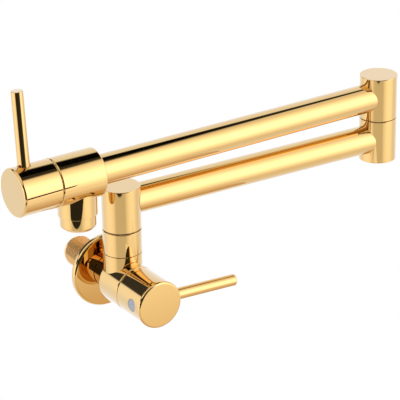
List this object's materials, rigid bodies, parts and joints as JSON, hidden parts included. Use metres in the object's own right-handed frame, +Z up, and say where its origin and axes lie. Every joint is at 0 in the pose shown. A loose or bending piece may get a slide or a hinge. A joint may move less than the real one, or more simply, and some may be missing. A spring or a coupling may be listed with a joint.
{
  "type": "wall mounted pot filler tap",
  "caption": "Wall mounted folding pot filler tap with double-jointed swivel arm, quarter-turn valves at the wall and at the spout, rod levers and polished gold finish.",
  "frame": {"origin": "where the inlet's axis meets the wall's surface, at the back of the flange gasket", "axes": "+Z up, +Y into the wall along the inlet, +X along the wall towards the folded elbow"},
  "size_m": [0.3749, 0.1308, 0.2204],
  "materials": {
    "gold": "mirror-polished gold plating",
    "brass": "machined brass",
    "steel": "plain stainless steel",
    "ceramic": "lapped white ceramic",
    "rubber": "black seal rubber",
    "acetal": "white bearing plastic",
    "grey_plastic": "grey moulded plastic",
    "plug": "blue-grey plastic"
  },
  "bodies": {
    "wall_base": {"wall_flange": "gold", "flange_gasket": "rubber", "flange_o_ring": "rubber", "inlet_nipple": "gold", "nipple_seal": "rubber", "wall_valve_body": "gold", "wall_port_seal": "rubber", "wall_fixed_disc": "ceramic", "wall_cartridge_body": "brass", "wall_cartridge_nut": "brass", "shoulder_collar": "gold", "shoulder_pivot": "brass", "shoulder_lower_o_ring": "rubber", "shoulder_upper_o_ring": "rubber", "shoulder_slip_washer": "acetal"},
    "wall_handle": {"wall_turning_disc": "ceramic", "wall_stem": "brass", "wall_stem_o_ring": "rubber", "wall_handle_cap": "gold", "wall_lever": "gold", "wall_handle_grub_screw": "steel", "wall_index_plug": "plug"},
    "lower_arm": {"lower_arm_hub": "gold", "shoulder_retaining_screw": "steel", "lower_arm_tube": "gold", "elbow_lower_hub": "gold", "elbow_pivot": "brass", "elbow_lower_o_ring": "rubber", "elbow_upper_o_ring": "rubber", "elbow_slip_washer": "acetal"},
    "upper_arm": {"elbow_upper_hub": "gold", "elbow_retaining_screw": "steel", "upper_arm_tube": "gold", "spout_valve_body": "gold", "spout_port_seal": "rubber", "spout_fixed_disc": "ceramic", "spout_cartridge_body": "brass", "spout_cartridge_nut": "brass", "aerator_ring": "gold", "aerator_insert": "grey_plastic", "aerator_mesh": "steel", "aerator_washer": "rubber"},
    "spout_handle": {"spout_turning_disc": "ceramic", "spout_stem": "brass", "spout_stem_o_ring": "rubber", "spout_handle_cap": "gold", "spout_lever": "gold", "spout_handle_grub_screw": "steel", "spout_index_plug": "plug"}
  },
  "joints": [
    {"name": "shoulder_swing", "type": "hinge", "parent": "wall_base", "child": "lower_arm", "pos_m": [0, -0.031, 0.0705], "axis": [0, 0, 1], "range_deg": [-177.9, 2.1]},
    {"name": "elbow_swing", "type": "hinge", "parent": "lower_arm", "child": "upper_arm", "pos_m": [0.25433, -0.04033, 0.1085], "axis": [0, 0, 1], "continuous": true},
    {"name": "wall_handle_turn", "type": "hinge", "parent": "wall_base", "child": "wall_handle", "pos_m": [0, -0.0749, 0], "axis": [0, 1, 0], "range_deg": [0, 90]},
    {"name": "spout_handle_turn", "type": "hinge", "parent": "upper_arm", "child": "spout_handle", "pos_m": [0.25433, -0.04033, 0.1085], "axis": [1, 0.0079, 0], "range_deg": [0, 90]}
  ]
}
